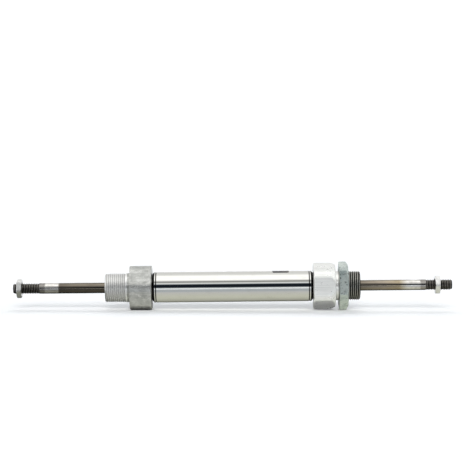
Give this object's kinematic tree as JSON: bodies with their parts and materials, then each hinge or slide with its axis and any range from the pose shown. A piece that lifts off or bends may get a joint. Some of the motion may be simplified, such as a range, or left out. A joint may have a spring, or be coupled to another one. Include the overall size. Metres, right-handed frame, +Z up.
{
  "type": "pneumatic cylinder",
  "caption": "Round-bodied pneumatic cylinder with a piston rod through both hexagonal end caps, threaded noses and a mounting nut.",
  "frame": {"origin": "middle of the barrel, on the rod's axis", "axes": "+X along the rod towards the end with the mounting nut, +Z up"},
  "size_m": [0.332, 0.035, 0.0364],
  "materials": {
    "polished_stainless": "drawn and polished stainless steel",
    "turned_aluminium": "bright extruded and turned, lightly scuffed",
    "piston_aluminium": "turned",
    "stained_rod_steel": "ground steel, stained brown, bright near its ends",
    "galvanised_nut": "galvanised, dull and mottled",
    "zinc_rod_nut": "bright zinc plated",
    "spring_steel": "oiled black",
    "sintered_bronze": "sintered, oil filled",
    "black_rubber": "satin nitrile rubber",
    "amber_polyurethane": "smooth polyurethane",
    "bonded_ferrite": "plastic-bonded ferrite",
    "filled_ptfe": "bronze-filled fluoropolymer strip",
    "label_film": "printed film, plain bands with no text"
  },
  "bodies": {
    "barrel": {"barrel_tube": "polished_stainless", "barrel_label": "label_film", "left_end_cap": "turned_aluminium", "right_end_cap": "turned_aluminium", "left_barrel_oring": "black_rubber", "right_barrel_oring": "black_rubber", "left_rod_bush": "sintered_bronze", "right_rod_bush": "sintered_bronze", "left_rod_seal": "amber_polyurethane", "right_rod_seal": "amber_polyurethane", "left_rod_wiper": "black_rubber", "right_rod_wiper": "black_rubber", "left_end_bumper": "amber_polyurethane", "right_end_bumper": "amber_polyurethane"},
    "guide_ring": {"piston_guide_ring": "filled_ptfe"},
    "rod": {"piston_rod": "stained_rod_steel", "left_piston_half": "piston_aluminium", "right_piston_half": "piston_aluminium", "left_piston_seal": "black_rubber", "right_piston_seal": "black_rubber", "left_piston_clip": "spring_steel", "right_piston_clip": "spring_steel", "piston_magnet": "bonded_ferrite", "piston_oring": "black_rubber"},
    "nose_nut": {"mounting_nut": "galvanised_nut"},
    "left_nut": {"left_rod_nut": "zinc_rod_nut"},
    "right_nut": {"right_rod_nut": "zinc_rod_nut"}
  },
  "joints": [
    {"name": "rod_slide", "type": "slide", "parent": "barrel", "child": "guide_ring", "axis": [1, 0, 0], "range_m": [-0.04, 0.04]},
    {"name": "rod_spin", "type": "hinge", "parent": "guide_ring", "child": "rod", "pos_m": [0, 0, 0], "axis": [1, 0, 0], "continuous": true},
    {"name": "mounting_nut_turn", "type": "hinge", "parent": "barrel", "child": "nose_nut", "pos_m": [0.08375, 0, 0], "axis": [1, 0, 0], "continuous": true},
    {"name": "left_rod_nut_turn", "type": "hinge", "parent": "rod", "child": "left_nut", "pos_m": [-0.1614, 0, 0], "axis": [1, 0, 0], "continuous": true},
    {"name": "right_rod_nut_turn", "type": "hinge", "parent": "rod", "child": "right_nut", "pos_m": [0.15505, 0, 0], "axis": [1, 0, 0], "continuous": true}
  ]
}
